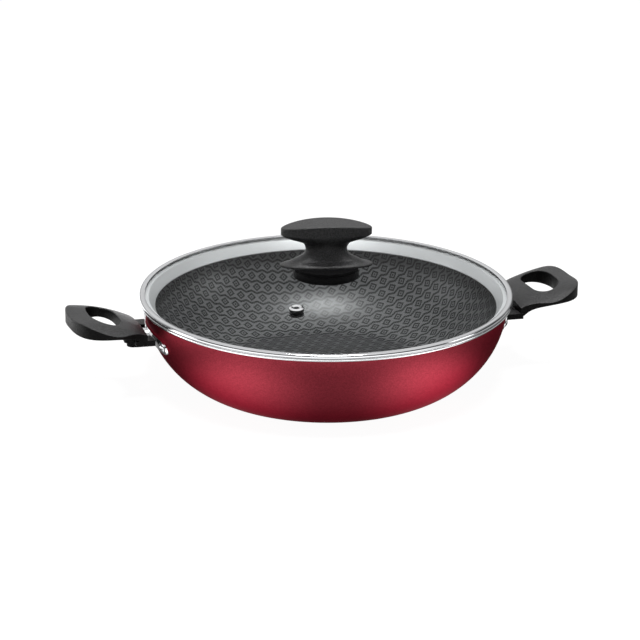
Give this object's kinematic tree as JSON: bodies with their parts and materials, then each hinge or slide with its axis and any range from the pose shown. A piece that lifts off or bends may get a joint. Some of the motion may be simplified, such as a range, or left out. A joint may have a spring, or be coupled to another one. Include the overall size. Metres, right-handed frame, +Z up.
{
  "type": "shallow wok pan with glass lid",
  "caption": "Shallow round-sided aluminium pan with two side loop handles and a lift-off domed glass lid with steel rim, steam vent and grip knob.",
  "frame": {"origin": "centre of the flat base, on the surface that the pan stands on", "axes": "+Z up; +X and -X run out along the two handles"},
  "size_m": [0.4126, 0.295, 0.131],
  "materials": {
    "pan_aluminium": "baked metallic red paint outside, dark non-stick lining with a printed lattice inside, bare turned lip and base",
    "bracket_steel": "bright polished pressed steel",
    "rivet_aluminium": "bright upset heads",
    "handle_phenolic": "black moulded phenolic, fine satin texture",
    "fastener_steel": "zinc-plated steel",
    "lid_glass": "clear tempered glass",
    "ring_steel": "bright rolled stainless steel",
    "eyelet_steel": "bright turned steel",
    "seal_rubber": "black silicone rubber",
    "knob_phenolic": "black moulded phenolic, fine satin texture",
    "insert_brass": "turned and knurled brass"
  },
  "bodies": {
    "pan": {"wok_body": "pan_aluminium", "left_bracket": "bracket_steel", "right_bracket": "bracket_steel", "left_rivets": "rivet_aluminium", "right_rivets": "rivet_aluminium", "left_handle": "handle_phenolic", "right_handle": "handle_phenolic", "left_handle_screw": "fastener_steel", "right_handle_screw": "fastener_steel", "left_handle_nut": "fastener_steel", "right_handle_nut": "fastener_steel"},
    "lid": {"lid_glass": "lid_glass", "lid_ring": "ring_steel", "vent_eyelet": "eyelet_steel", "vent_seal": "seal_rubber", "knob_base": "knob_phenolic", "knob_grip": "knob_phenolic", "knob_insert": "insert_brass", "knob_seal": "seal_rubber", "knob_washer": "fastener_steel", "knob_screw": "fastener_steel"}
  },
  "joints": [
    {"name": "lid_lift", "type": "slide", "parent": "pan", "child": "lid", "axis": [0, 0, 1], "range_m": [0, 0.15]}
  ]
}
